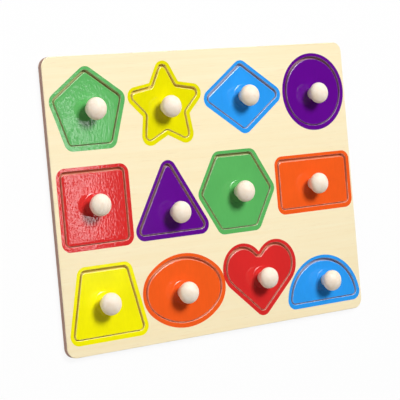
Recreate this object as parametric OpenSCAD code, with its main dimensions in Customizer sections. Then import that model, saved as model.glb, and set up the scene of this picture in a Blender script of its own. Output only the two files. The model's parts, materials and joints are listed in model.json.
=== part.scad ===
// Peg puzzle: a board of two glued plywood panels. The face panel has twelve shaped cut-outs,
// the backing panel closes them from below, and a painted tile with a turned knob lies in each.
// The board lies flat, face up, with +X along its width and +Y towards its top edge.
// The origin is the middle of the underside. All sizes are in millimetres.

/* [Board] */
// Width of the board
board_width = 285; // [275:1:330]
// Height of the board, from its lower edge to its top edge
board_height = 225; // [212:1:270]
// Radius of the board's corners
board_corner_radius = 8; // [2:0.5:14]
// Thickness of the face panel, which the shapes are cut out of
face_thickness = 3; // [2:0.1:6]
// Thickness of the backing panel
backing_thickness = 2.3; // [1.5:0.1:6]

/* [Layout] */
// Wood between the left edge and the first cut-out of each row
left_margin = 6.6; // [4:0.1:10]
// Wood between the right edge and the last cut-out of each row
right_margin = 5; // [4:0.1:10]
// Wood above the top row
top_margin = 10; // [6:0.5:14]
// Wood below the bottom row
bottom_margin = 11.5; // [6:0.5:14]

/* [Tiles] */
// Radius of the tiles' outer corners
tile_corner_radius = 3; // [1:0.1:5]
// Radius of the tiles' inner corners
tile_notch_radius = 5.1; // [3:0.1:6]
// Gap round a tile that lies in the middle of its cut-out
tile_clearance = 1.3; // [0.8:0.1:2]
// How far the tiles have slid towards the lower edge, as a share of that gap
tile_slide_share = 0.55; // [0:0.05:0.6]

/* [Shapes] */
// Centre of the pentagon to its corners, measured as all shapes are before the corners are rounded
pentagon_radius = 30.2; // [24:0.1:34]
// Centre of the star to its points
star_radius = 34.1; // [29:0.1:37]
// Centre of the star to its inner corners
star_inner_radius = 17.6; // [15:0.1:20]
// Width of the rhombus
rhombus_width = 70.6; // [58:0.1:78]
// Height of the rhombus
rhombus_height = 51; // [42:0.1:58]
// Diameter of the circle
circle_diameter = 54.7; // [44:0.1:60]
// Side of the square
square_side = 53.7; // [44:0.1:60]
// Side of the triangle
triangle_side = 62.7; // [54:0.1:70]
// Side of the hexagon
hexagon_side = 33.1; // [27:0.1:36]
// Width of the rectangle
rectangle_width = 69.1; // [56:0.1:76]
// Height of the rectangle
rectangle_height = 38.6; // [30:0.1:50]
// Width of the trapezoid at its top
trapezoid_top = 38.8; // [32:0.1:48]
// Width of the trapezoid at its base
trapezoid_base = 61; // [52:0.1:68]
// Height of the trapezoid
trapezoid_height = 49.2; // [40:0.1:56]
// Width of the oval
oval_width = 68.3; // [60:0.1:75]
// Height of the oval
oval_height = 48.9; // [40:0.1:56]
// Radius of the heart's two lobes
heart_lobe_radius = 15.6; // [14:0.1:17.5]
// Distance between the centres of the heart's lobes
heart_lobe_spacing = 32.7; // [29:0.1:36]
// Height of the heart
heart_height = 51.1; // [44:0.1:56]
// Radius of the semicircle
semicircle_radius = 33.6; // [28:0.1:37]
// Height of the semicircle
semicircle_height = 32.4; // [27:0.1:36]

/* [Knobs] */
// Diameter of a knob's head
knob_head_diameter = 17.1; // [14:0.1:20]
// Thickness of a knob's head along its axis
knob_head_thickness = 11.6; // [9:0.1:14]
// Radius of the head's rounded rim
knob_rim_radius = 4.2; // [3:0.1:5]
// Height of a knob above its tile
knob_height = 15; // [13:0.1:20]
// Diameter of a knob's neck where it stands on the tile
knob_neck_diameter = 9.2; // [8:0.1:11]
// How wide the neck would be at the middle of the head, as a share of the head
neck_flare_share = 0.885; // [0.78:0.005:0.9]
// Radius of the fillet between neck and head
knob_fillet_radius = 3.5; // [1:0.1:5]
// Diameter of the tenon that is glued into the tile
tenon_diameter = 6; // [4:0.1:7]
// Distance from the tenon's end to the tile's underside
tenon_setback = 0.3; // [0.1:0.1:1]
// Gap for glue round the tenon
glue_gap = 0.05; // [0.02:0.01:0.2]

/* [Hidden] */
$fn = 96;
overrun = 1;
// Arcs are larger by this much than the corners they round, so that they cross the sides cleanly
weld = 0.002;

// The shapes row by row, from the top left to the bottom right
SHAPES = [
    "pentagon", "star", "rhombus", "circle",
    "square", "triangle", "hexagon", "rectangle",
    "trapezoid", "oval", "heart", "semicircle"
];
column_count = 4;
TILE_COLOURS = [
    "mediumseagreen", "yellow", "dodgerblue", "indigo",
    "crimson", "indigo", "mediumseagreen", "orangered",
    "yellow", "orangered", "crimson", "dodgerblue"
];
// How far the next shape of the row reaches in beside each shape, of the cut-out's width
tuck_shares = [
    0, 0, 0, 0,
    0, 0.158, 0, 0,
    0.07, 0.042, 0.19, 0
];
// How far each shape sits below its row's middle, of the room that the row leaves it
sink_shares = [
    0, 0, 0, 0,
    0, 0, 0, 0,
    0, 0, 0, 1
];
// Place of each knob from the middle of its tile, of the tile's width and height
knob_shares = [
    [0.033, -0.016], [-0.008, -0.06], [0.011, 0.014], [-0.02, -0.027],
    [-0.009, 0.038], [0.051, -0.205], [0.028, -0.004], [-0.023, -0.02],
    [-0.036, -0.004], [-0.035, -0.02], [0.02, 0.012], [0.035, -0.015]
];
// Radius of the oval's end arcs, of its half height
oval_end_share = 0.745;
// Greatest radius of a knob's rim, of the head's half thickness
rim_limit_share = 0.9;

// Sizes of the board, the knobs, the heart and the semicircle that several modules share
board_thickness = backing_thickness + face_thickness;
neck_radius = knob_neck_diameter / 2;
tenon_radius = tenon_diameter / 2;
tenon_length = face_thickness - tenon_setback;
head_radius = knob_head_diameter / 2;
head_half = knob_head_thickness / 2;
head_middle = knob_height - head_half;
rim_radius = min(knob_rim_radius, rim_limit_share * head_half);
heart_lobe_place = [heart_lobe_spacing / 2, 0];
heart_tip_place = [0, heart_lobe_radius + tile_corner_radius - heart_height];
semicircle_core_radius = semicircle_radius - tile_corner_radius;
semicircle_corner_y = semicircle_radius - semicircle_height + tile_corner_radius;
semicircle_corner_x = sqrt(semicircle_core_radius ^ 2 - semicircle_corner_y ^ 2);

// Outlines run anticlockwise, so an edge's outer side is on its right
function mirrored(p) = [-p[0], p[1]];
function edge_normal(a, b) = let (d = (b - a) / norm(b - a)) [d[1], -d[0]];
function corner_normals(points, i) =
    let (count = len(points))
    [
        edge_normal(points[(i + count - 1) % count], points[i]),
        edge_normal(points[i], points[(i + 1) % count])
    ];
// A corner of an outline after all its edges have moved outwards by grow
function moved_corner(points, i, grow) =
    let (n = corner_normals(points, i))
    points[i] + grow * (n[0] + n[1]) / (1 + n[0] * n[1]);
function is_inner_corner(points, i) =
    let (n = corner_normals(points, i))
    cross(n[0], n[1]) < 0;

// Sharp outlines of the shapes with straight sides
function ring(radii, count, turn) =
    [for (i = [0 : count - 1])
        radii[i % len(radii)] * [cos(turn + 360 * i / count), sin(turn + 360 * i / count)]];
function four_sided(base, top, height) =
    [[-base, -height], [base, -height], [top, height], [-top, height]] / 2;
function on_end(width, height) =
    [[-width, 0], [0, -height], [width, 0], [0, height]] / 2;
function sharp_outline(shape) =
    shape == "pentagon" ? ring([pentagon_radius], 5, 90) :
    shape == "star" ? ring([star_radius, star_inner_radius], 10, 90) :
    shape == "rhombus" ? on_end(rhombus_width, rhombus_height) :
    shape == "square" ? four_sided(square_side, square_side, square_side) :
    shape == "triangle" ? ring([triangle_side / sqrt(3)], 3, 90) :
    shape == "hexagon" ? ring([hexagon_side], 6, 0) :
    shape == "rectangle" ? four_sided(rectangle_width, rectangle_width, rectangle_height) :
    four_sided(trapezoid_base, trapezoid_top, trapezoid_height);

// Points that a tile's outline reaches one corner radius beyond, and no further.
// On a shape with straight sides they are the centres of its corners.
function cross_points(width, height) =
    [
        [width / 2 - tile_corner_radius, 0], [tile_corner_radius - width / 2, 0],
        [0, height / 2 - tile_corner_radius], [0, tile_corner_radius - height / 2]
    ];
function heart_points() =
    let (lobe_reach = heart_lobe_radius - tile_corner_radius, side = heart_lobe_place + [lobe_reach, 0])
    [side, mirrored(side), heart_lobe_place + [0, lobe_reach], heart_tip_place];
function core_points(shape) =
    shape == "circle" ? cross_points(circle_diameter, circle_diameter) :
    shape == "oval" ? cross_points(oval_width, oval_height) :
    shape == "heart" ? heart_points() :
    shape == "semicircle" ? [
        [semicircle_corner_x, semicircle_corner_y],
        [-semicircle_corner_x, semicircle_corner_y],
        [0, semicircle_core_radius]
    ] :
    let (points = sharp_outline(shape))
    [for (i = [0 : len(points) - 1]) moved_corner(points, i, -tile_corner_radius)];

// Lowest and highest corner of a tile's box, in the frame that its outline is drawn in
function core_extent(shape, axis) =
    let (along = [for (p = core_points(shape)) p[axis]])
    [min(along) - tile_corner_radius, max(along) + tile_corner_radius];
function tile_size(shape) =
    [for (axis = [0, 1]) core_extent(shape, axis)[1] - core_extent(shape, axis)[0]];
function tile_middle(shape) =
    [for (axis = [0, 1]) (core_extent(shape, axis)[1] + core_extent(shape, axis)[0]) / 2];

// The cut-outs of a row stand a like distance apart between the side margins, and the rows
// stand a like distance apart between the top and bottom margins.
function total(values, count) = count == 0 ? 0 : values[count - 1] + total(values, count - 1);
function cut_width(i) = tile_size(SHAPES[i])[0] + 2 * tile_clearance;
function cut_height(i) = tile_size(SHAPES[i])[1] + 2 * tile_clearance;
function row_start(row) = row * column_count;
function row_height(row) =
    max([for (i = [row_start(row) : row_start(row) + column_count - 1]) cut_height(i)]);
function row_steps(row) =
    [for (i = [row_start(row) : row_start(row) + column_count - 1]) cut_width(i) * (1 - tuck_shares[i])];
function column_gap(row) =
    (board_width - left_margin - right_margin - total(row_steps(row), column_count)) / (column_count - 1);
row_count = len(SHAPES) / column_count;
row_heights = [for (row = [0 : row_count - 1]) row_height(row)];
row_gap = (board_height - top_margin - bottom_margin - total(row_heights, row_count)) / (row_count - 1);
function row_middle(row) =
    board_height / 2 - top_margin - total(row_heights, row) - row * row_gap - row_heights[row] / 2;
function cut_place(i) =
    let (row = floor(i / column_count), column = i % column_count)
    [
        left_margin - board_width / 2 + total(row_steps(row), column) + column * column_gap(row)
            + cut_width(i) / 2,
        row_middle(row) - sink_shares[i] * (row_heights[row] - cut_height(i)) / 2
    ];
function tile_place(i) = cut_place(i) - [0, tile_slide_share * tile_clearance];
function knob_place(i) =
    let (size = tile_size(SHAPES[i]))
    tile_place(i) + [size[0] * knob_shares[i][0], size[1] * knob_shares[i][1]];

// Outline with round outer corners about the given centres, and a fillet in each inner corner
module rounded_outline(centres, radius, notch_radius) {
    corners = [0 : len(centres) - 1];
    polygon([for (i = corners) each is_inner_corner(centres, i)
        ? [moved_corner(centres, i, radius)]
        : [for (n = corner_normals(centres, i)) centres[i] + radius * n]]);
    for (i = corners)
        if (is_inner_corner(centres, i))
            notch_fillet(centres, i, radius, notch_radius);
        else
            translate(centres[i]) circle(r = radius + weld);
}

module notch_fillet(centres, i, radius, notch_radius) {
    middle = moved_corner(centres, i, radius + notch_radius);
    normals = corner_normals(centres, i);
    difference() {
        polygon([
            centres[i],
            middle - notch_radius * normals[0],
            middle,
            middle - notch_radius * normals[1]
        ]);
        translate(middle) circle(r = notch_radius + weld);
    }
}

// Oval of four arcs that run into each other smoothly
module oval_outline(half_width, half_height, end_radius) {
    end_x = half_width - end_radius;
    end_spare = half_height - end_radius;
    side_y = (end_x ^ 2 - end_spare ^ 2) / (2 * end_spare);
    side_radius = half_height + side_y;
    join_x = end_x * (1 + end_radius / norm([end_x, side_y]));
    intersection() {
        translate([0, -side_y]) circle(r = side_radius);
        translate([0, side_y]) circle(r = side_radius);
        square([2 * join_x, 2 * side_radius], center = true);
    }
    for (x = [-end_x, end_x])
        translate([x, 0]) circle(r = end_radius + weld);
}

module heart_outline(spare) {
    lobe_radius = heart_lobe_radius + spare;
    tip_radius = tile_corner_radius + spare;
    notch_radius = tile_notch_radius - spare;
    notch_place = [0, sqrt((lobe_radius + notch_radius) ^ 2 - heart_lobe_place[0] ^ 2)];
    run = heart_lobe_place - heart_tip_place;
    along = run / norm(run);
    lean = (lobe_radius - tip_radius) / norm(run);
    side_normal = sqrt(1 - lean ^ 2) * [along[1], -along[0]] - lean * along;
    right_side = [
        heart_tip_place + tip_radius * side_normal,
        heart_lobe_place + lobe_radius * side_normal,
        heart_lobe_place
    ];
    difference() {
        polygon(concat(
            right_side,
            [notch_place],
            [for (i = [len(right_side) - 1 : -1 : 0]) mirrored(right_side[i])]
        ));
        translate(notch_place) circle(r = notch_radius);
    }
    translate(heart_tip_place) circle(r = tip_radius + weld);
    for (place = [heart_lobe_place, mirrored(heart_lobe_place)])
        translate(place) circle(r = lobe_radius + weld);
}

module semicircle_outline(spare) {
    radius = semicircle_radius + spare;
    corner_radius = tile_corner_radius + spare;
    corner = [semicircle_corner_x, semicircle_corner_y];
    shoulder = corner * radius / semicircle_core_radius;
    foot = corner - [0, corner_radius];
    intersection() {
        circle(r = radius);
        translate([-radius, shoulder[1]]) square([2 * radius, radius]);
    }
    polygon([mirrored(foot), foot, corner, shoulder, mirrored(shoulder), mirrored(corner)]);
    for (place = [corner, mirrored(corner)])
        translate(place) circle(r = corner_radius + weld);
}

// Outline of a tile, or of its cut-out if it is grown by the clearance
module outline(shape, spare) {
    translate(-tile_middle(shape))
        if (shape == "circle")
            circle(d = circle_diameter + 2 * spare);
        else if (shape == "oval")
            oval_outline(
                oval_width / 2 + spare,
                oval_height / 2 + spare,
                oval_end_share * oval_height / 2 + spare
            );
        else if (shape == "heart")
            heart_outline(spare);
        else if (shape == "semicircle")
            semicircle_outline(spare);
        else
            rounded_outline(core_points(shape), tile_corner_radius + spare, tile_notch_radius - spare);
}

module board_slab(thickness) {
    corner = [board_width, board_height] / 2 - [board_corner_radius, board_corner_radius];
    linear_extrude(height = thickness)
        rounded_outline(
            [-corner, [corner[0], -corner[1]], corner, mirrored(corner)],
            board_corner_radius,
            0
        );
}

module backing_panel() {
    color("burlywood") board_slab(backing_thickness);
}

module face_panel() {
    color("blanchedalmond") translate([0, 0, backing_thickness])
        difference() {
            board_slab(face_thickness);
            for (i = [0 : len(SHAPES) - 1])
                translate(concat(cut_place(i), -overrun))
                    linear_extrude(height = face_thickness + 2 * overrun)
                        outline(SHAPES[i], tile_clearance);
        }
}

module tile(i) {
    bore_place = knob_place(i) - tile_place(i);
    color(TILE_COLOURS[i]) translate(concat(tile_place(i), backing_thickness))
        difference() {
            linear_extrude(height = face_thickness) outline(SHAPES[i], 0);
            translate(concat(bore_place, -overrun))
                cylinder(r = tenon_radius + glue_gap, h = face_thickness + 2 * overrun);
        }
}

// Half section of a knob, with the tile's top at zero height. The neck's side is a straight
// line, and the fillet touches both that line and the rim's arc.
module knob_section() {
    rim_place = [head_radius - rim_radius, head_middle];
    foot = [neck_radius, 0];
    run = [neck_flare_share * head_radius, head_middle] - foot;
    along = run / norm(run);
    reach = rim_radius + knob_fillet_radius;
    offset_foot = foot + knob_fillet_radius * edge_normal(foot, foot + run);
    rise = (rim_place - offset_foot) * along;
    neck_length = rise - sqrt(reach ^ 2 - norm(rim_place - offset_foot) ^ 2 + rise ^ 2);
    neck_touch = foot + neck_length * along;
    fillet_place = offset_foot + neck_length * along;
    rim_touch = rim_place + (fillet_place - rim_place) * rim_radius / reach;
    intersection() {
        translate([0, head_middle]) oval_outline(head_radius, head_half, rim_radius);
        square([knob_head_diameter, 2 * knob_height]);
    }
    translate([0, -tenon_length]) square([tenon_radius, tenon_length + head_middle]);
    difference() {
        polygon([[0, 0], foot, neck_touch, fillet_place, rim_touch, [0, head_middle]]);
        translate(fillet_place) circle(r = knob_fillet_radius + weld);
    }
}

module knob(i) {
    color("wheat") translate(concat(knob_place(i), board_thickness))
        rotate_extrude() knob_section();
}

backing_panel();
face_panel();
for (i = [0 : len(SHAPES) - 1]) {
    tile(i);
    knob(i);
}
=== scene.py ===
"""A wooden peg puzzle: painted tiles with turned knobs, lying in a plywood board with painted borders."""

import json
import math

import bmesh
import bpy
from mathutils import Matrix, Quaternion, Vector


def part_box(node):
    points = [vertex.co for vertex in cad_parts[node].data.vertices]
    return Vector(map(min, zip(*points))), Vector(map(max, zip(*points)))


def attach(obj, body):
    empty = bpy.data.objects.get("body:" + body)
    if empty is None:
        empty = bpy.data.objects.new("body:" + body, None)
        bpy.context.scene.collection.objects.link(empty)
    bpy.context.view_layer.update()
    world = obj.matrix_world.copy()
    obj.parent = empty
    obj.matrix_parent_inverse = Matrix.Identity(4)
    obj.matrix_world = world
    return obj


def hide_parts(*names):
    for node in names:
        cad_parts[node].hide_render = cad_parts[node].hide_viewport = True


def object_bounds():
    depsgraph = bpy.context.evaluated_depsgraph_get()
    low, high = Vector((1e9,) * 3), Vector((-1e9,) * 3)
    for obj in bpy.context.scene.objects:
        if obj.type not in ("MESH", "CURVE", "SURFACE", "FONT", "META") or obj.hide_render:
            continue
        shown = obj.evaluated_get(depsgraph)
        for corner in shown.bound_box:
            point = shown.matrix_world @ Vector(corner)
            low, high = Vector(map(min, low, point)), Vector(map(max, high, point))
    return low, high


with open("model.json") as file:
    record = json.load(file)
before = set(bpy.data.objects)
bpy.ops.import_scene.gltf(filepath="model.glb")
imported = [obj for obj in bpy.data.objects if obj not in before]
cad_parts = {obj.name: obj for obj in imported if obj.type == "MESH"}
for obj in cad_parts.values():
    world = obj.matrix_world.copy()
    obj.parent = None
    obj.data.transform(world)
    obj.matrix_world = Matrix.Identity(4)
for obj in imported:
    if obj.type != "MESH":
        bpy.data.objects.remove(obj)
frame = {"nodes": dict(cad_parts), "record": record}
cad_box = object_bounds()

# Lengths are in metres, and this is one millimetre
MM = 0.001

# Height of the board's face
FACE_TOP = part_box("face_panel")[1].z

# Camera, placed in millimetres from the middle of the board's face, with its turn in degrees
CAMERA_PLACE = (-657.0, 47.8, 965.1)
CAMERA_AIM = (-12.9, -5.9, 0.0)
CAMERA_TURN = 88.92
LENS = 132.67
SENSOR_WIDTH = 36

# Board and tiles: rounded edges, facets, the painted border, and how much of the paint has run
BOARD_CORNER = 8 * MM
BOARD_EDGE_ROUND = 0.5 * MM
ROUND_STEPS = 4
RIM_FACET_WIDTH = 0.4 * MM
TILE_FACET_WIDTH = 0.6 * MM
FACET_TILT = math.radians(20)
WORN_WIDTH = 0.3 * MM
TILE_SLOPE_WIDTH = 2.5 * MM
TILE_SLOPE_DROP = 0.15 * MM
BORDER_WIDTH = 3.3 * MM
BORDER_SHIFT = Vector((0.2, -0.6, 0.0)) * MM
PAINT_FILM = 0.03 * MM
PAINT_DEPTH = 2.2 * MM
SIDE_STAIN = 0.45
BORE_REACH = 4 * MM
# Width of the band along a cut-out's wall where the floor is darker and paint-tinted: painted shade in the
# gap, and paint stain
SHADE_AND_STAIN_WIDTH = 3 * MM
FLOOR_LIFT = 0.01 * MM

# Distances below which two points count as one, and as touching
MERGE = 0.001 * MM
TOUCH = 0.01 * MM

# Angles above which an edge is sharp, and below which two faces count as one flat side
SHARP = math.radians(60)
FLAT_SIDE = math.radians(0.3)

# Angles in degrees below which edges are shaded as round
BOARD_SMOOTH = 40
PAINT_SMOOTH = 15
RING_SMOOTH = 25

# Upward share of a face's normal above which the face is on the upper side, is painted, and is flat
FACING_UP = 0.1
PAINTED_UP = 0.7
FLAT_UP = 0.98

SHAPES = [
    "pentagon", "star", "rhombus", "circle",
    "square", "triangle", "hexagon", "rectangle",
    "trapezoid", "oval", "heart", "semicircle",
]

# Ridges across the paint, in one metre
PAINT_GRAIN = 700

# Ridges in the paint, as how many times longer than wide and how deep, and the paint's roughness
FAINT_RIDGES = (4, 0.015 * MM, 0.07)
RIDGES = {
    "pentagon": (2, 0.09 * MM, 0.09),
    "square": (1.4, 0.055 * MM, 0.07),
    "triangle": (3, 0.02 * MM, 0.12),
    "trapezoid": (3, 0.02 * MM, 0.16),
}

# Shapes whose paint slopes down over a band along the edge
SLOPED = ["pentagon", "square"]

# Shapes with a ring of thicker paint round the knob
RINGED = ["rhombus", "square", "hexagon", "trapezoid", "oval", "heart", "semicircle"]
RING_RADIUS = 8.8 * MM
RING_HALF_WIDTH = 0.55 * MM
RING_HEIGHT = 0.2 * MM
RING_STEPS = 72
RING_SIDES = 4
RING_ROUGHNESS = 0.25

# Colours as they show on a screen, from 0 to 255
PAINTS = {
    "green_paint": (94, 184, 98),
    "yellow_paint": (244, 236, 0),
    "blue_paint": (46, 160, 250),
    "purple_paint": (101, 6, 146),
    "red_paint": (222, 44, 43),
    "orange_paint": (251, 96, 30),
}

# Shapes whose coat is drawn lighter or darker than others of its colour, as painted light: the star's
# darker coat is painted shade and the trapezoid's lighter coat is painted sheen
PAINTED_LIGHT_COATS = {"star": (237, 229, 0), "trapezoid": (255, 247, 0)}

# Share of wood that shows, at least and at most, where paint is rubbed thin and where it is worn
RUBBED = (0.0, 0.2)
WORN = (0.2, 0.6)

# Shapes whose edges are less worn, with the share of the others' wear
LESS_WORN = {"circle": 0.6}

# How much darker the paint is in places
PAINT_DARKER = 0.07

# Floor, and how much of what is seen of it is even light
FLOOR_SIZE = 6
FLOOR_GAP = 0.2 * MM
FLOOR_LEVEL = 0.9
FLOOR_GLOW = 0.92

# Light of the room near the horizon and overhead
ROOM_PALE = 0.46
ROOM_DIM = 0.05

# Place of the main lamp, in metres
KEY_PLACE = (0.5, 1.22, 1.99)


def colour(red, green, blue):
    """A screen colour as the linear colour that a shader takes."""
    def linear(level):
        share = level / 255
        return share / 12.92 if share <= 0.04045 else ((share + 0.055) / 1.055) ** 2.4
    return (linear(red), linear(green), linear(blue), 1.0)


def grey(level):
    """A plain grey, from 0 for black to 1 for white."""
    return (level, level, level, 1.0)


def link(socket, value):
    """Links a shade to a socket, or sets a plain value on it."""
    if isinstance(value, Shade):
        socket.id_data.links.new(value.socket, socket)
    else:
        socket.default_value = value


def set_stops(ramp, stops):
    """Gives a colour ramp its stops, each a place from 0 to 1 and a colour."""
    while len(ramp.elements) < len(stops):
        ramp.elements.new(1.0)
    for element, (place, tint) in zip(ramp.elements, stops):
        element.position = place
        element.color = tint


class Shade:
    """An output socket of a shader node. Sums and products of values add Math nodes."""

    def __init__(self, socket):
        self.socket = socket

    def add(self, kind, settings=None, inputs=None, output=0):
        """Adds a node with its settings, and then the values or links of its sockets."""
        node = self.socket.id_data.nodes.new(kind)
        for name, value in (settings or {}).items():
            if name == "stops":
                set_stops(node.color_ramp, value)
            else:
                setattr(node, name, value)
        for name, value in (inputs or {}).items():
            link(node.inputs[name], value)
        return Shade(node.outputs[output])

    def math(self, operation, first, second):
        return self.add("ShaderNodeMath", {"operation": operation}, {0: first, 1: second})

    def __add__(self, other):
        return self.math("ADD", self, other)

    def __radd__(self, other):
        return self.math("ADD", other, self)

    def __sub__(self, other):
        return self.math("SUBTRACT", self, other)

    def __rsub__(self, other):
        return self.math("SUBTRACT", other, self)

    def __mul__(self, other):
        return self.math("MULTIPLY", self, other)

    def __rmul__(self, other):
        return self.math("MULTIPLY", other, self)

    def __truediv__(self, other):
        return self.math("DIVIDE", self, other)

    def clipped(self, low, high):
        """This value spread so that low becomes 0 and high becomes 1, and cut off there."""
        return self.add(
            "ShaderNodeMapRange", {"clamp": True}, {"Value": self, "From Min": low, "From Max": high})

    def mix(self, first, second):
        """Goes from the first colour to the second as this value goes from 0 to 1."""
        return self.add("ShaderNodeMix", {"data_type": "RGBA"}, {0: self, 6: first, 7: second}, output=2)

    def stretched(self, scale, turn=0.0):
        """These coordinates, turned about the vertical and then scaled along each axis."""
        turned = self.add(
            "ShaderNodeVectorRotate", {"rotation_type": "Z_AXIS"}, {"Vector": self, "Angle": turn})
        return turned.add("ShaderNodeVectorMath", {"operation": "MULTIPLY"}, {0: turned, 1: scale})

    def noise(self, detail=3.0, roughness=0.5, distortion=0.0):
        """Smooth random values about 0.5, in lumps about one unit wide."""
        return self.add(
            "ShaderNodeTexNoise", None,
            {
                "Vector": self,
                "Scale": 1.0,
                "Detail": detail,
                "Roughness": roughness,
                "Distortion": distortion,
            },
        )

    def axis(self, name):
        """One coordinate of a vector."""
        return self.add("ShaderNodeSeparateXYZ", None, {"Vector": self}, output=name)


class Finish:
    """A material with one surface shader, and the coordinates of the piece that wears it."""

    def __init__(self, name):
        self.material = bpy.data.materials.new(name)
        self.material.use_nodes = True
        nodes = self.material.node_tree.nodes
        self.surface = nodes["Principled BSDF"]
        self.place = Shade(nodes.new("ShaderNodeTexCoord").outputs["Object"])

    def set(self, **values):
        """Sets sockets of the surface shader, which are named here with _ for a space."""
        for name, value in values.items():
            link(self.surface.inputs[name.replace("_", " ")], value)

    def bump(self, height, distance):
        """Raises the surface by a height, in units of the distance."""
        self.set(Normal=self.place.add("ShaderNodeBump", None, {"Height": height, "Distance": distance}))


def face_wood():
    """Pale plywood face with faint streaks and short pores along the board's width."""
    finish = Finish("face_wood")
    streaks = finish.place.stretched((10, 260, 120)).noise(detail=5, roughness=0.55, distortion=0.3)
    fine = finish.place.stretched((22, 900, 300)).noise()
    patches = finish.place.stretched((4, 14, 10)).noise(detail=2)
    pores = finish.place.stretched((70, 1500, 500)).noise(detail=2).clipped(0.64, 0.74)
    tone = streaks * 0.5 + fine * 0.2 + patches * 0.3
    wood = tone.clipped(0.25, 0.75).mix(colour(251, 231, 185), colour(255, 243, 207))
    finish.set(
        Base_Color=(pores * 0.25).mix(wood, colour(226, 192, 140)),
        Roughness=0.26 + fine * 0.1,
        IOR=1.45,
    )
    finish.bump(fine - pores * 0.8, 0.04 * MM)
    return finish.material


def cut_wood():
    """Wood browned by the cutter, with streaks down the cut."""
    finish = Finish("cut_wood")
    streaks = finish.place.stretched((700, 700, 60)).noise()
    scorch = finish.place.stretched((60, 60, 60)).noise(detail=2)
    tone = streaks * 0.6 + scorch * 0.4
    finish.set(
        Base_Color=tone.clipped(0.3, 0.7).mix(colour(206, 166, 130), colour(240, 208, 172)),
        Roughness=0.75,
    )
    finish.bump(streaks, 0.05 * MM)
    return finish.material


def blend(first, second, share):
    """A colour that goes from the first to the second as the share goes from 0 to 1."""
    return tuple(one + (two - one) * share for one, two in zip(first, second))


def stained_wood(name, slot, share):
    """Cut wood that some paint has run over, with streaks down the cut."""
    finish = Finish(name)
    tint = colour(*PAINTS[slot])
    streaks = finish.place.stretched((700, 700, 60)).noise()
    runs = finish.place.stretched((60, 60, 60)).noise(detail=2)
    dark = blend(colour(232, 198, 162), tint, share)
    pale = blend(colour(255, 236, 208), tint, share)
    finish.set(
        Base_Color=(streaks * 0.6 + runs * 0.4).clipped(0.3, 0.7).mix(dark, pale),
        Roughness=0.6,
    )
    finish.bump(streaks, 0.04 * MM)
    return finish.material


def bare_tile_wood():
    """Unpainted undersides of the tiles."""
    finish = Finish("bare_tile_wood")
    streaks = finish.place.stretched((500, 500, 80)).noise()
    finish.set(
        Base_Color=streaks.clipped(0.3, 0.7).mix(colour(220, 186, 146), colour(246, 222, 188)),
        Roughness=0.7,
    )
    finish.bump(streaks, 0.04 * MM)
    return finish.material


def ply_edge():
    """Sawn edge of the board, with the plies of both panels showing as bands."""
    finish = Finish("ply_edge")
    height = finish.place.axis("Z") / FACE_TOP
    fibres = finish.place.stretched((260, 260, 2600)).noise(detail=4)
    blotches = finish.place.stretched((70, 70, 300)).noise(detail=2)
    bands = finish.place.add(
        "ShaderNodeValToRGB",
        {"stops": [
            (0.00, colour(222, 190, 174)),
            (0.16, colour(226, 196, 182)),
            (0.18, colour(200, 164, 149)),
            (0.40, colour(206, 171, 157)),
            (0.43, colour(178, 141, 126)),
            (0.62, colour(194, 158, 143)),
            (0.82, colour(198, 162, 147)),
            (1.00, colour(216, 181, 163)),
        ]},
        {"Fac": height + (fibres - 0.5) * 0.03},
    )
    finish.set(
        Base_Color=(fibres * 0.6 + blotches * 0.4).clipped(0.35, 0.8).mix(bands, colour(161, 124, 109)),
        Roughness=0.8,
    )
    finish.bump(fibres, 0.06 * MM)
    return finish.material


def back_wood():
    """Plain plywood of the backing panel."""
    finish = Finish("back_wood")
    streaks = finish.place.stretched((12, 220, 120)).noise(detail=5, distortion=0.4)
    fine = finish.place.stretched((25, 800, 300)).noise()
    tone = streaks * 0.7 + fine * 0.3
    finish.set(
        Base_Color=tone.clipped(0.3, 0.7).mix(colour(205, 168, 118), colour(238, 210, 164)),
        Roughness=0.65,
    )
    finish.bump(fine, 0.05 * MM)
    return finish.material


def recess_wood(name, slot):
    """Bare plywood in a cut-out, darker and tinted with paint along the wall: partly paint stain, partly
    painted shade in the narrow gap.
    """
    finish = Finish(name)
    stain = blend(colour(196, 158, 120), colour(*PAINTS[slot]), SIDE_STAIN)
    streaks = finish.place.stretched((12, 220, 120)).noise(detail=5, distortion=0.4)
    # The attribute marks the wall's edge, where the floor is drawn darker as painted shade and tinted by
    # paint stain
    near = finish.place.add("ShaderNodeAttribute", {"attribute_name": "scorch"}, None, output="Fac")
    wood = streaks.clipped(0.3, 0.7).mix(colour(200, 162, 112), colour(226, 194, 146))
    finish.set(
        Base_Color=near.clipped(0.0, 0.5).mix(wood, stain),
        Roughness=0.75,
    )
    return finish.material


def knob_wood():
    """Turned pale wood, with faint grain and pores."""
    finish = Finish("knob_wood")
    grain = finish.place.stretched((260, 260, 40)).noise(detail=4, distortion=0.4)
    pores = finish.place.stretched((1400, 1400, 160)).noise(detail=2).clipped(0.62, 0.75)
    wood = grain.clipped(0.3, 0.7).mix(colour(246, 227, 203), colour(254, 241, 225))
    finish.set(
        Base_Color=(pores * 0.2).mix(wood, colour(222, 186, 146)),
        Roughness=0.5,
        IOR=1.45,
    )
    finish.bump(grain * 0.5 - pores, 0.05 * MM)
    return finish.material


def paint_colour(shape):
    """The colour of a shape's coat of paint, with painted shade or painted sheen drawn in for some shapes.
    """
    return colour(*PAINTED_LIGHT_COATS.get(shape, PAINTS[slots[shape + "_tile"]]))


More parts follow.
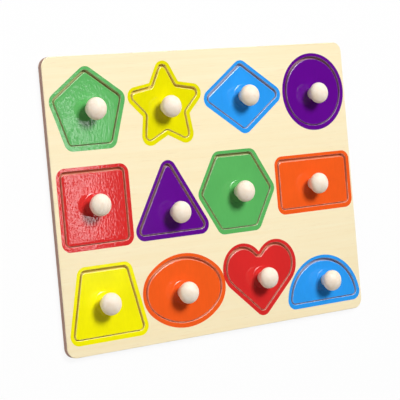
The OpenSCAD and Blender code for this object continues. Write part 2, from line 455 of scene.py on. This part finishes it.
def paint(name, tint, turn, stretch, depth, roughness):
    """Glossy paint, with the grain of the wood below it showing through as fine ridges."""
    finish = Finish(name)
    deep = blend(tint, grey(0.0), PAINT_DARKER)
    ridges = finish.place.stretched((PAINT_GRAIN / stretch, PAINT_GRAIN, PAINT_GRAIN), turn)
    grain = ridges.noise(detail=1, roughness=0.3)
    cloud = finish.place.stretched((45, 45, 45)).noise(detail=2)
    finish.set(
        Base_Color=(grain * 0.3 + cloud * 0.7).clipped(0.35, 0.65).mix(deep, tint),
        Roughness=roughness,
        IOR=1.5,
    )
    finish.bump(grain, depth)
    return finish.material


def worn_paint(name, tint, least, most):
    """Paint rubbed thin along an edge, with a share of the wood showing that goes from least to most."""
    finish = Finish(name)
    rubbed = finish.place.stretched((350, 350, 350)).noise().clipped(0.3, 0.7)
    finish.set(
        Base_Color=(least + rubbed * (most - least)).mix(tint, colour(250, 230, 208)),
        Roughness=0.2 + rubbed * 0.1,
        IOR=1.5,
    )
    return finish.material


# Modelling helpers. Each works on one piece, which is then the only one that is selected.

def select(piece):
    """Selects a piece alone and makes it the active one."""
    bpy.ops.object.select_all(action="DESELECT")
    piece.select_set(True)
    bpy.context.view_layer.objects.active = piece


def edit(piece):
    """Opens a piece for editing with everything in it selected."""
    select(piece)
    bpy.ops.object.mode_set(mode="EDIT")
    bpy.ops.mesh.select_all(action="SELECT")


def leave_edit():
    bpy.ops.object.mode_set(mode="OBJECT")


def pick(piece, kind, test):
    """While a piece is edited, selects those of its vertices, edges or faces that pass the test."""
    bpy.ops.mesh.select_mode(type=kind)
    bpy.ops.mesh.select_all(action="DESELECT")
    mesh = bmesh.from_edit_mesh(piece.data)
    for item in {"VERT": mesh.verts, "EDGE": mesh.edges, "FACE": mesh.faces}[kind]:
        if test(item):
            item.select_set(True)
    mesh.select_flush_mode()
    bmesh.update_edit_mesh(piece.data)


def apply_modifier(piece, kind, **settings):
    """Adds a modifier with its settings and applies it."""
    select(piece)
    modifier = piece.modifiers.new(kind, kind)
    for name, value in settings.items():
        setattr(modifier, name, value)
    bpy.ops.object.modifier_apply(modifier=modifier.name)


def smooth(piece, angle):
    """Shades edges below an angle, in degrees, as round and keeps flat faces flat."""
    select(piece)
    bpy.ops.object.shade_smooth_by_angle(angle=math.radians(angle))
    apply_modifier(piece, "WEIGHTED_NORMAL", keep_sharp=True, weight=100)


def wear(piece, materials, rule):
    """Gives each face the material that the rule picks by its place in the list."""
    for material in materials:
        piece.data.materials.append(material)
    for face in piece.data.polygons:
        face.material_index = rule(face)


def copy_of(node, name):
    """A copy of a solid as one closed mesh, with a single face on each flat side."""
    piece = bpy.data.objects.new(name, frame["nodes"][node].data.copy())
    bpy.context.scene.collection.objects.link(piece)
    piece.data.materials.clear()
    edit(piece)
    bpy.ops.mesh.customdata_custom_splitnormals_clear()
    bpy.ops.mesh.remove_doubles(threshold=MERGE)
    bpy.ops.mesh.dissolve_limited(angle_limit=FLAT_SIDE)
    leave_edit()
    return piece


def middle(ends):
    """The point halfway between two points."""
    return (ends[0] + ends[1]) / 2


def middle_of(edge):
    return middle([vertex.co for vertex in edge.verts])


def lies_at(edge, height):
    return all(abs(vertex.co.z - height) < TOUCH for vertex in edge.verts)


def is_sharp(edge):
    return len(edge.link_faces) == 2 and edge.calc_face_angle() > SHARP


def is_rim(edge):
    """Whether an edge of the face panel goes round its upper side or round a cut-out in it."""
    return lies_at(edge, FACE_TOP) and is_sharp(edge)


def beside_board(point):
    """Whether a point lies on the board's outer sides, and not on a cut-out's wall."""
    straight = cad_box[1].xy - Vector((BOARD_CORNER, BOARD_CORNER))
    across = max(abs(point.x) - straight.x, 0)
    along = max(abs(point.y) - straight.y, 0)
    return math.hypot(across, along) > BOARD_CORNER - BOARD_EDGE_ROUND


def round_edges(piece, size, test, steps=ROUND_STEPS):
    """Rounds off those edges of a piece that pass the test."""
    edit(piece)
    pick(piece, "EDGE", test)
    bpy.ops.mesh.bevel(offset=size, offset_type="OFFSET", segments=steps, clamp_overlap=False)
    leave_edit()


def cut_facet(piece, width, height, test):
    """Cuts a low facet and below it a narrow steep one along edges that lie at a height over a wall."""
    round_edges(piece, width, test, steps=1)
    edit(piece)
    pick(piece, "VERT", lambda vertex: abs(vertex.co.z - height + width) < TOUCH)
    drop = width * math.tan(FACET_TILT)
    bpy.ops.transform.translate(value=(0, 0, width - drop))
    leave_edit()
    round_edges(piece, WORN_WIDTH, lambda edge: lies_at(edge, height - drop) and is_sharp(edge), steps=1)


def wear_paint(piece, shape, turn):
    """Paints a piece in its shape's colour: glossy on top, worn on the facets, and a stain on its sides."""
    slot = slots[shape + "_tile"]
    tint = paint_colour(shape)
    gloss = paint(piece.name + "_paint", tint, turn, *RIDGES.get(shape, FAINT_RIDGES))
    wood_share = LESS_WORN.get(shape, 1.0)
    rubbed = worn_paint(piece.name + "_rubbed", tint, *(share * wood_share for share in RUBBED))
    worn = worn_paint(piece.name + "_worn", tint, *(share * wood_share for share in WORN))
    stained = stained_wood(piece.name + "_side", slot, 1 - (1 - SIDE_STAIN) * wood_share)

    def coat(face):
        if face.normal.z > FLAT_UP:
            return 0
        if face.normal.z > PAINTED_UP:
            return 1
        if face.normal.z > FACING_UP:
            return 2
        return 3 if face.normal.z > -FACING_UP else 4
    wear(piece, [gloss, rubbed, worn, stained, bare_wood], coat)
    smooth(piece, PAINT_SMOOTH)


# The pieces

def make_face():
    """The face panel, with softened rims and browned walls in its cut-outs."""
    piece = copy_of("face_panel", "board_face")
    round_edges(piece, BOARD_EDGE_ROUND, lambda edge: is_rim(edge) and beside_board(middle_of(edge)))
    round_edges(
        piece, RIM_FACET_WIDTH, lambda edge: is_rim(edge) and not beside_board(middle_of(edge)), steps=1)

    def surface(face):
        if face.normal.z > FACING_UP:
            return 0
        return 1 if beside_board(face.center) else 2
    wear(piece, [face_wood(), board_edge, rim_wood], surface)
    smooth(piece, BOARD_SMOOTH)
    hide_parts("face_panel")
    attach(piece, "board")


def make_back():
    """The backing panel, with a softened lower edge."""
    piece = copy_of("backing_panel", "board_back")
    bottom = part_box("backing_panel")[0].z
    round_edges(piece, BOARD_EDGE_ROUND, lambda edge: lies_at(edge, bottom) and is_sharp(edge))
    wear(piece, [back_wood(), board_edge], lambda face: 0 if abs(face.normal.z) > FACING_UP else 1)
    smooth(piece, BOARD_SMOOTH)
    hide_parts("backing_panel")
    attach(piece, "board")


def rim_lines(height):
    """The outlines of the cut-outs at a height of the face panel, each as a piece of its own, by shape."""
    rims = copy_of("face_panel", "rims")
    edit(rims)
    pick(
        rims, "EDGE",
        lambda edge: lies_at(edge, height) and is_sharp(edge) and not beside_board(middle_of(edge)))
    bpy.ops.mesh.select_all(action="INVERT")
    bpy.ops.mesh.delete(type="EDGE")
    bpy.ops.mesh.select_all(action="SELECT")
    bpy.ops.mesh.separate(type="LOOSE")
    leave_edit()
    lines = {}
    for piece in bpy.context.selected_objects:
        corners = [Vector(corner) for corner in piece.bound_box]
        centre = middle((corners[0], corners[6])).xy
        shape = min(SHAPES, key=lambda name: (tile_middles[name].xy - centre).length)
        lines[shape] = piece
    return lines


def make_border(shape, piece):
    """The painted band round a cut-out: a thin film that runs over the rim and down the wall."""
    piece.name = shape + "_border"
    edit(piece)
    bpy.ops.mesh.extrude_region_move(TRANSFORM_OT_translate={"value": (0, 0, -PAINT_DEPTH)})
    bpy.ops.mesh.select_all(action="SELECT")
    bpy.ops.mesh.normals_make_consistent(inside=False)
    bpy.ops.transform.translate(value=(0, 0, PAINT_FILM))
    leave_edit()
    rim = [vertex.co.copy() for vertex in piece.data.vertices]
    width = BORDER_WIDTH + PAINT_FILM
    apply_modifier(
        piece, "SOLIDIFY", thickness=width, offset=2 * BORDER_WIDTH / width - 1, use_even_offset=True)

    def is_inner(vertex):
        return min((vertex.co - point).length for point in rim) < BORDER_WIDTH / 2
    edit(piece)
    pick(piece, "VERT", lambda vertex: not is_inner(vertex))
    bpy.ops.transform.translate(value=BORDER_SHIFT)
    leave_edit()
    top = FACE_TOP + PAINT_FILM
    cut_facet(
        piece, RIM_FACET_WIDTH, top,
        lambda edge: lies_at(edge, top) and all(is_inner(vertex) for vertex in edge.verts))
    wear_paint(piece, shape, 0.0)
    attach(piece, "board")


def make_recess(shape, piece):
    """The floor of a cut-out, with a measure of how near each point is to the wall, which marks the band
    drawn darker as painted shade and paint stain.
    """
    piece.name = shape + "_recess"
    edit(piece)
    bpy.ops.mesh.edge_face_add()
    bpy.ops.transform.translate(value=(0, 0, FLOOR_LIFT))
    leave_edit()
    if piece.data.polygons[0].normal.z < 0:
        edit(piece)
        bpy.ops.mesh.flip_normals()
        leave_edit()
    wall = len(piece.data.vertices)
    edit(piece)
    bpy.ops.mesh.inset(thickness=SHADE_AND_STAIN_WIDTH, use_boundary=True, use_even_offset=True)
    leave_edit()
    # The value is 1 at the wall, where the floor is drawn darker as painted shade and tinted as paint stain
    nearness = piece.data.attributes.new("scorch", "FLOAT", "POINT")
    for index, value in enumerate(nearness.data):
        value.value = 1.0 if index < wall else 0.0
    wear(piece, [recess_wood(piece.name, slots[shape + "_tile"])], lambda face: 0)
    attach(piece, "board")


def make_tile(shape):
    """A tile, painted on top and on the facets round it, with stained sides and a bare underside."""
    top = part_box(shape + "_tile")[1].z
    axis = middle(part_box(shape + "_knob")).xy
    piece = copy_of(shape + "_tile", shape + "_painted_tile")

    def is_outer(edge):
        return is_sharp(edge) and (middle_of(edge).xy - axis).length > BORE_REACH
    rim = top
    if shape in SLOPED:
        edit(piece)
        pick(piece, "FACE", lambda face: face.calc_center_median().z > top - TOUCH)
        bpy.ops.mesh.inset(thickness=TILE_SLOPE_WIDTH, use_boundary=True, use_even_offset=True)
        pick(piece, "EDGE", lambda edge: lies_at(edge, top) and is_outer(edge))
        bpy.ops.transform.translate(value=(0, 0, -TILE_SLOPE_DROP))
        leave_edit()
        rim = top - TILE_SLOPE_DROP
    cut_facet(piece, TILE_FACET_WIDTH, rim, lambda edge: lies_at(edge, rim) and is_outer(edge))
    wear_paint(piece, shape, math.radians(90))
    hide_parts(shape + "_tile")
    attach(piece, shape + "_piece")
    if shape in RINGED:
        make_ring(shape, axis, top)


def make_ring(shape, axis, height):
    """A low ring of thicker paint round a knob, half sunk in the tile."""
    bpy.ops.object.select_all(action="DESELECT")
    bpy.ops.mesh.primitive_torus_add(
        location=(axis.x, axis.y, height),
        major_radius=RING_RADIUS,
        minor_radius=RING_HALF_WIDTH,
        major_segments=RING_STEPS,
        minor_segments=RING_SIDES,
    )
    piece = bpy.context.object
    piece.name = shape + "_ring"
    piece.scale.z = RING_HEIGHT / RING_HALF_WIDTH
    bpy.ops.object.transform_apply(location=True, rotation=True, scale=True)
    smooth(piece, RING_SMOOTH)
    stretch, depth, _ = FAINT_RIDGES
    satin = paint(piece.name + "_paint", paint_colour(shape), 0.0, stretch, depth, RING_ROUGHNESS)
    wear(piece, [satin], lambda face: 0)
    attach(piece, shape + "_piece")


def make_knob(shape, material):
    """The turned knob of a tile, which keeps its solid's own mesh."""
    node = frame["nodes"][shape + "_knob"]
    node.data.materials.clear()
    node.data.materials.append(material)


# The stage

def make_floor():
    """A white floor. What the camera and mirrors see of it is mostly even light, with a faint shadow."""
    bpy.ops.object.select_all(action="DESELECT")
    bpy.ops.mesh.primitive_plane_add(size=FLOOR_SIZE, location=(0, 0, -FLOOR_GAP))
    floor = bpy.context.object
    floor.name = "floor"
    material = bpy.data.materials.new("floor_white")
    material.use_nodes = True
    nodes = material.node_tree.nodes
    nodes.remove(nodes["Principled BSDF"])
    path = nodes.new("ShaderNodeLightPath")
    camera = Shade(path.outputs["Is Camera Ray"])
    glossy = Shade(path.outputs["Is Glossy Ray"])
    clear = Shade(path.outputs["Is Transmission Ray"])
    seen = camera.math("MAXIMUM", camera, camera.math("MAXIMUM", glossy, clear))
    matt = seen.add("ShaderNodeBsdfDiffuse", None, {"Color": grey(FLOOR_LEVEL)})
    glow = seen.add("ShaderNodeEmission", None, {"Color": grey(1.0), "Strength": 1.0})
    both = seen.add("ShaderNodeMixShader", None, {0: seen * FLOOR_GLOW, 1: matt, 2: glow})
    link(nodes["Material Output"].inputs["Surface"], both)
    floor.data.materials.append(material)


def hang(lamp, place, aim):
    """Puts a lamp at a place, facing the point it is aimed at."""
    holder = bpy.data.objects.new(lamp.name, lamp)
    bpy.context.scene.collection.objects.link(holder)
    holder.location = place
    holder.rotation_mode = "QUATERNION"
    holder.rotation_quaternion = (Vector(aim) - Vector(place)).to_track_quat("-Z", "Y")


def make_lamp(name, place, aim, size, power):
    """A soft square or oblong lamp that faces the point it is aimed at."""
    lamp = bpy.data.lights.new(name, "AREA")
    lamp.shape = "RECTANGLE"
    lamp.size, lamp.size_y = size
    lamp.energy = power
    hang(lamp, place, aim)


def make_spot(name, place, aim, cone, radius, power):
    """A soft spot lamp whose light fades out towards the edge of its cone, which is given in degrees."""
    lamp = bpy.data.lights.new(name, "SPOT")
    lamp.energy = power
    lamp.spot_size = math.radians(cone)
    lamp.spot_blend = 1.0
    lamp.shadow_soft_size = radius
    hang(lamp, place, aim)


def make_world():
    """A pale room that is dim overhead, so that glossy paint keeps its colour."""
    world = bpy.data.worlds.new("room")
    bpy.context.scene.world = world
    world.use_nodes = True
    nodes = world.node_tree.nodes
    place = Shade(nodes.new("ShaderNodeTexCoord").outputs["Generated"])
    camera = Shade(nodes.new("ShaderNodeLightPath").outputs["Is Camera Ray"])
    rise = place.axis("Z").clipped(0.15, 0.7)
    room = rise.mix(grey(ROOM_PALE), grey(ROOM_DIM))
    link(nodes["Background"].inputs["Color"], camera.mix(room, grey(1.0)))


def make_camera():
    """The camera at the photograph's place, with the board's top edge up."""
    camera = bpy.data.cameras.new("camera")
    camera.lens = LENS
    camera.sensor_width = SENSOR_WIDTH
    holder = bpy.data.objects.new("camera", camera)
    bpy.context.scene.collection.objects.link(holder)
    face_middle = Vector((0, 0, FACE_TOP))
    place = face_middle + Vector(CAMERA_PLACE) * MM
    aim = face_middle + Vector(CAMERA_AIM) * MM
    turn = Quaternion((0, 0, 1), math.radians(CAMERA_TURN))
    holder.location = place
    holder.rotation_mode = "QUATERNION"
    holder.rotation_quaternion = (aim - place).to_track_quat("-Z", "Y") @ turn
    bpy.context.scene.camera = holder


slots = {part["node"]: part["material_slot"] for part in frame["record"]["subparts"]}
board_edge = ply_edge()
bare_wood = bare_tile_wood()
rim_wood = cut_wood()

make_face()
make_back()
tile_middles = {shape: middle(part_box(shape + "_tile")) for shape in SHAPES}
for shape, line in rim_lines(FACE_TOP).items():
    make_border(shape, line)
for shape, line in rim_lines(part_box("face_panel")[0].z).items():
    make_recess(shape, line)
turned_wood = knob_wood()
for shape in SHAPES:
    make_tile(shape)
    make_knob(shape, turned_wood)

make_floor()
make_world()
make_lamp("key", KEY_PLACE, (0, 0, 0), (0.9, 0.9), 54.0)
make_spot("left_spot", KEY_PLACE, (-0.22, -0.045, 0), 11.4, 0.35, 85.0)
make_lamp("fill", (-1.4, -0.1, 0.5), (0, 0, 0), (1.0, 0.7), 2.0)
make_lamp("strip", (0.4, 0.0, 0.945), (-0.1, 0.0, 0), (0.23, 0.05), 0.24)
make_lamp("panel", (0.35, 0.115, 0.945), (-0.1, 0.115, 0), (0.17, 0.2), 0.05)
make_camera()
bpy.context.scene.view_settings.view_transform = "Standard"
